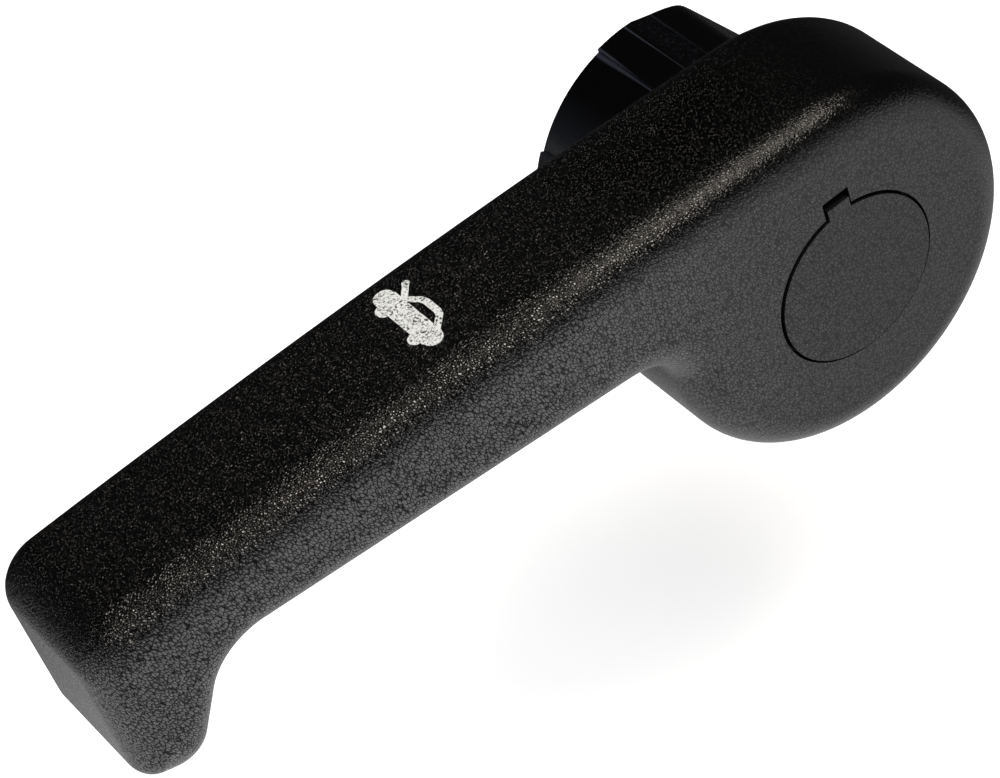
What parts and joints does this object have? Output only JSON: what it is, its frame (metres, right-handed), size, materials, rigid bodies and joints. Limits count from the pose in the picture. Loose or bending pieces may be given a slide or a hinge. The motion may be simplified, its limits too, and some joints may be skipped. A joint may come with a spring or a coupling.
{
  "type": "hood release handle",
  "caption": "Moulded pull lever with a round head, a finger hook at the arm's end, a ribbed drive hub behind and a flush plug over its screw.",
  "frame": {"origin": "centre of the hub's rear face, on the pivot axis, at the mouth of the spindle socket", "axes": "+Y along the pivot axis out of the hub's rear end, towards the vehicle; the plug's face looks along -Y; the arm runs along -X and its finger hook points down, -Z"},
  "size_m": [0.1387, 0.0412, 0.053],
  "materials": {
    "lever_plastic": "fine moulded grain, hub left smooth",
    "cap_plastic": "fine moulded grain"
  },
  "bodies": {
    "handle": {"lever": "lever_plastic"},
    "plug": {"screw_cap": "cap_plastic"}
  },
  "joints": [
    {"name": "plug_pull", "type": "slide", "parent": "handle", "child": "plug", "axis": [0, -1, 0], "range_m": [0, 0.03]}
  ]
}
